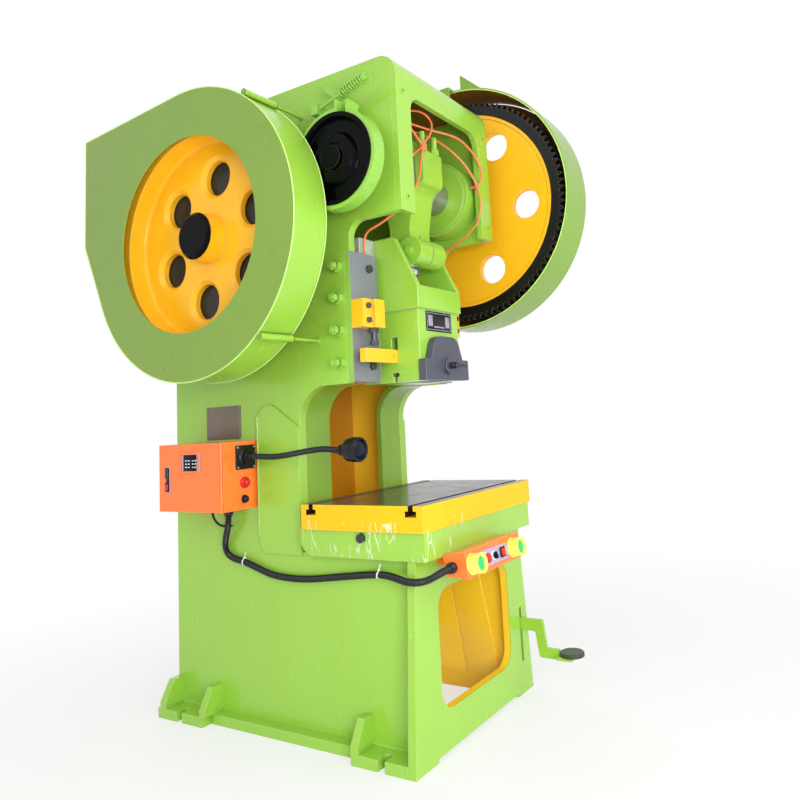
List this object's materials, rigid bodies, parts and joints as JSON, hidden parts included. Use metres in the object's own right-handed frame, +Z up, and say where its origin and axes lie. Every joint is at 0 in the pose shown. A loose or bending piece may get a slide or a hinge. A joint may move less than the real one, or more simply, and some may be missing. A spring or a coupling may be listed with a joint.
{
  "type": "mechanical stamping press",
  "caption": "Open-front C-frame crank press: a guarded flywheel drives a gear, crank and ram over a slotted bolster table, with two-hand controls, foot pedal and work lamp.",
  "frame": {"origin": "the tool axis where it meets the floor", "axes": "+Z up, +X to the right of someone who faces the front, +Y to the back"},
  "size_m": [1.235, 1.8219, 2.715],
  "materials": {
    "green_paint": "gloss green enamel",
    "amber_paint": "gloss amber enamel",
    "steel": "machined",
    "grey_casting": "grey casting",
    "black_paint": "gloss black enamel",
    "orange_paint": "gloss orange enamel",
    "black_rubber": "matt black",
    "black_plastic": "black moulding",
    "red_plastic": "red moulding",
    "green_plastic": "green moulding",
    "yellow_plastic": "yellow moulding",
    "orange_tube": "orange tube"
  },
  "bodies": {
    "frame": {"side_plate_left": "green_paint", "side_plate_right": "green_paint", "head_cover": "green_paint", "rear_plates": "green_paint", "throat_back_plate": "amber_paint", "throat_flanges": "green_paint", "throat_doublers": "green_paint", "base_front_plate": "green_paint", "foot_flanges": "green_paint", "bed_support": "green_paint", "bolster_table": "amber_paint", "frame_screws": "steel", "bearing_housings": "green_paint", "shaft_bearings": "green_paint", "brake_band": "green_paint", "brake_lever": "steel", "brake_rod": "steel", "brake_spring": "steel", "motor": "green_paint", "motor_bracket": "green_paint", "drive_belts": "black_rubber", "gibs": "steel", "guide_bars": "steel", "guide_studs": "steel", "stop_brackets": "amber_paint", "flywheel_guard": "green_paint", "gear_guard": "green_paint", "electrical_box": "orange_paint", "lamp_arm": "black_rubber", "lamp_head": "black_plastic", "control_box": "orange_paint", "button_shrouds": "yellow_plastic", "conduit": "black_rubber", "oil_tubes": "orange_tube"},
    "crank": {"crankshaft": "steel", "brake_drum": "black_paint", "gear_end_cap": "steel"},
    "rod": {"conrod": "green_paint", "conrod_cap": "green_paint", "conrod_fasteners": "steel", "adjusting_screw": "steel"},
    "ram": {"ram": "green_paint", "die_clamp": "grey_casting", "ram_screws": "steel"},
    "knock_out": {"knock_out_bar": "amber_paint"},
    "gear": {"drive_gear": "amber_paint"},
    "flywheel_shaft": {"pinion_shaft": "steel", "flywheel": "amber_paint", "flywheel_cap": "black_paint"},
    "motor_rotor": {"motor_pulley": "steel"},
    "pedal": {"pedal_lever": "green_paint", "pedal_pad": "black_rubber"},
    "door": {"box_door": "orange_paint"},
    "red_box_button": {"box_button_red": "red_plastic"},
    "black_box_button": {"box_button_black": "black_plastic"},
    "left_palm_button": {"start_button_left": "green_plastic"},
    "right_palm_button": {"start_button_right": "green_plastic"},
    "mushroom_button": {"stop_mushroom": "red_plastic"},
    "selector": {"selector_knob": "black_plastic"},
    "square_button": {"stop_button_square": "red_plastic"}
  },
  "joints": [
    {"name": "crank_turn", "type": "hinge", "parent": "frame", "child": "crank", "pos_m": [0, 0, 2.09], "axis": [-1, 0, 0], "range_deg": [0, 180]},
    {"name": "rod_swing", "type": "hinge", "parent": "crank", "child": "rod", "pos_m": [0, 0, 2.155], "axis": [-1, 0, 0], "range_deg": [-180.5, 0.5]},
    {"name": "ram_slide", "type": "slide", "parent": "frame", "child": "ram", "axis": [0, 0, 1], "range_m": [-0.1305, 0.0005]},
    {"name": "knock_out_slide", "type": "slide", "parent": "ram", "child": "knock_out", "axis": [0, 0, 1], "range_m": [0, 0.014]},
    {"name": "gear_spin", "type": "hinge", "parent": "frame", "child": "gear", "pos_m": [0, 0, 2.09], "axis": [-1, 0, 0], "continuous": true},
    {"name": "flywheel_spin", "type": "hinge", "parent": "frame", "child": "flywheel_shaft", "pos_m": [0, 0.596, 1.885], "axis": [-1, 0, 0], "continuous": true},
    {"name": "motor_spin", "type": "hinge", "parent": "frame", "child": "motor_rotor", "pos_m": [-0.5, 1.12, 2.185], "axis": [-1, 0, 0], "continuous": true},
    {"name": "pedal_press", "type": "hinge", "parent": "frame", "child": "pedal", "pos_m": [0.344, 0.5, 0.27], "axis": [1, 0, 0], "range_deg": [0, 4], "stiffness_Nm_per_rad": 600, "springref_deg": -8.59},
    {"name": "door_hinge", "type": "hinge", "parent": "frame", "child": "door", "pos_m": [-0.5133, 0.561, 0.96], "axis": [0, 0, 1], "range_deg": [0, 110]},
    {"name": "red_box_press", "type": "slide", "parent": "frame", "child": "red_box_button", "axis": [0, 1, 0], "range_m": [0, 0.004], "stiffness_N_per_m": 300, "springref_m": -0.002},
    {"name": "black_box_press", "type": "slide", "parent": "frame", "child": "black_box_button", "axis": [0, 1, 0], "range_m": [0, 0.004], "stiffness_N_per_m": 300, "springref_m": -0.002},
    {"name": "left_palm_press", "type": "slide", "parent": "frame", "child": "left_palm_button", "axis": [0, 0.9861, -0.1662], "range_m": [0, 0.005], "stiffness_N_per_m": 800, "springref_m": -0.002},
    {"name": "right_palm_press", "type": "slide", "parent": "frame", "child": "right_palm_button", "axis": [0, 0.9861, -0.1662], "range_m": [0, 0.005], "stiffness_N_per_m": 800, "springref_m": -0.002},
    {"name": "mushroom_press", "type": "slide", "parent": "frame", "child": "mushroom_button", "axis": [0, 0.9861, -0.1662], "range_m": [0, 0.004], "stiffness_N_per_m": 300, "springref_m": -0.002},
    {"name": "square_press", "type": "slide", "parent": "frame", "child": "square_button", "axis": [0, 0.9861, -0.1662], "range_m": [0, 0.004], "stiffness_N_per_m": 300, "springref_m": -0.002},
    {"name": "selector_turn", "type": "hinge", "parent": "frame", "child": "selector", "pos_m": [-0.104, -0.36185, 0.6394], "axis": [0, -0.9861, 0.1662], "range_deg": [-45, 45]}
  ],
  "couplings": [
    {"joint": "rod_swing", "follows": "crank_turn", "ratio": -1},
    {"joint": "ram_slide", "follows": "crank_turn", "m_per_rad": -0.04138},
    {"joint": "flywheel_spin", "follows": "gear_spin", "ratio": -4.25},
    {"joint": "motor_spin", "follows": "gear_spin", "ratio": -22.717}
  ]
}
